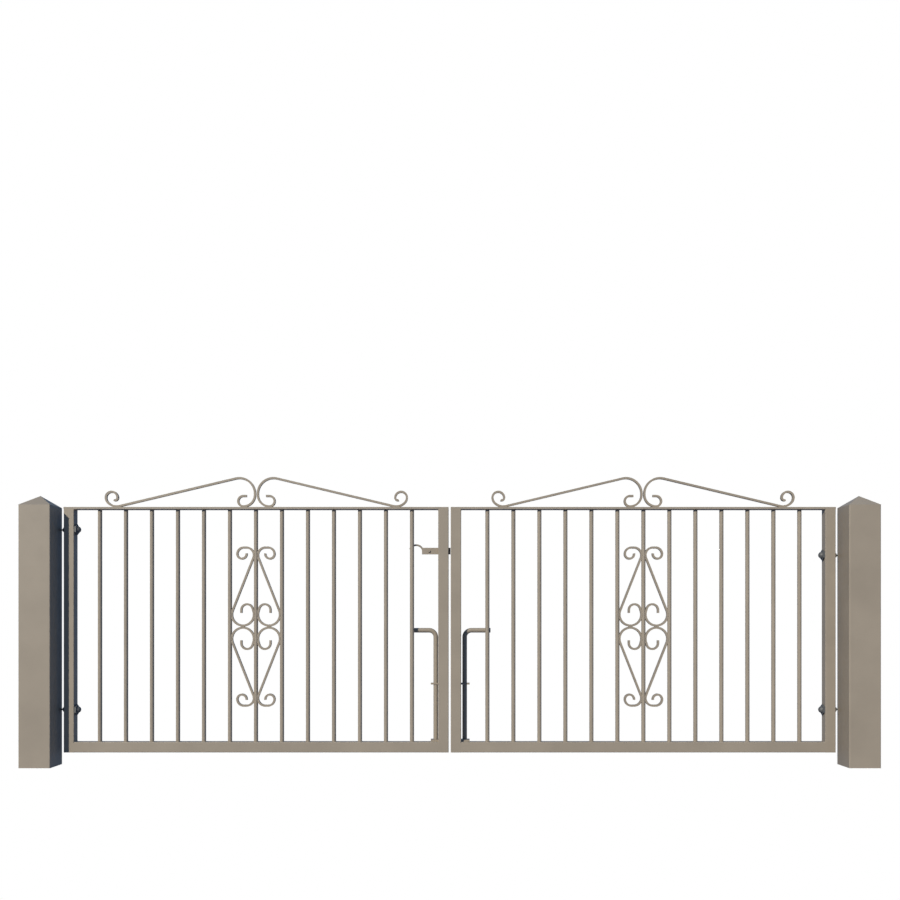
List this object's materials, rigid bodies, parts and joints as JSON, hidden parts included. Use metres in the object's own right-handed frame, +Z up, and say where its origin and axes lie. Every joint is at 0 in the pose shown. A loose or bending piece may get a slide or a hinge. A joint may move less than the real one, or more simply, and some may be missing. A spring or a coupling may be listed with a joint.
{
  "type": "metal driveway gate",
  "caption": "Pair of taupe painted steel driveway gate leaves with round bars, scroll crests and scroll panels, hung between square posts, with drop bolts and a slide latch.",
  "frame": {"origin": "centre of the left post's foot, at ground level", "axes": "+X to the right post, +Y into the drive, +Z up"},
  "size_m": [3.24, 0.144, 1.107],
  "materials": {
    "paint": "satin taupe-grey paint",
    "hinge_steel": "dull zinc plate"
  },
  "bodies": {
    "posts": {"left_post": "paint", "right_post": "paint", "left_post_cap": "paint", "right_post_cap": "paint", "left_hinge_eyes": "hinge_steel", "right_hinge_eyes": "hinge_steel"},
    "left_leaf": {"left_hinge_stile": "paint", "left_meeting_stile": "paint", "left_top_rail": "paint", "left_bottom_rail": "paint", "left_bars": "paint", "left_crest_scroll_hinge_side": "paint", "left_crest_scroll_meeting_side": "paint", "left_upper_scroll_hinge_side": "paint", "left_upper_scroll_meeting_side": "paint", "left_lower_scroll_hinge_side": "paint", "left_lower_scroll_meeting_side": "paint", "left_upper_hinge": "hinge_steel", "left_lower_hinge": "hinge_steel", "left_hinge_nuts": "hinge_steel", "left_bolt_guides": "paint"},
    "right_leaf": {"right_hinge_stile": "paint", "right_meeting_stile": "paint", "right_top_rail": "paint", "right_bottom_rail": "paint", "right_bars": "paint", "right_crest_scroll_hinge_side": "paint", "right_crest_scroll_meeting_side": "paint", "right_upper_scroll_hinge_side": "paint", "right_upper_scroll_meeting_side": "paint", "right_lower_scroll_hinge_side": "paint", "right_lower_scroll_meeting_side": "paint", "right_upper_hinge": "hinge_steel", "right_lower_hinge": "hinge_steel", "right_hinge_nuts": "hinge_steel", "right_bolt_guides": "paint"},
    "left_drop_bolt": {"left_drop_bolt": "paint"},
    "right_drop_bolt": {"right_drop_bolt": "paint"},
    "latch": {"latch_bolt": "paint"}
  },
  "joints": [
    {"name": "left_leaf_hinge", "type": "hinge", "parent": "posts", "child": "left_leaf", "pos_m": [0.071, 0.05, 0.213], "axis": [0, 0, 1], "range_deg": [0, 90]},
    {"name": "right_leaf_hinge", "type": "hinge", "parent": "posts", "child": "right_leaf", "pos_m": [3.049, 0.05, 0.213], "axis": [0, 0, -1], "range_deg": [0, 90]},
    {"name": "left_drop_bolt_slide", "type": "slide", "parent": "left_leaf", "child": "left_drop_bolt", "axis": [0, 0, 1], "range_m": [-0.1, 0]},
    {"name": "right_drop_bolt_slide", "type": "slide", "parent": "right_leaf", "child": "right_drop_bolt", "axis": [0, 0, 1], "range_m": [-0.1, 0]},
    {"name": "latch_slide", "type": "slide", "parent": "left_leaf", "child": "latch", "axis": [-1, 0, 0], "range_m": [-0.025, 0.02]}
  ]
}
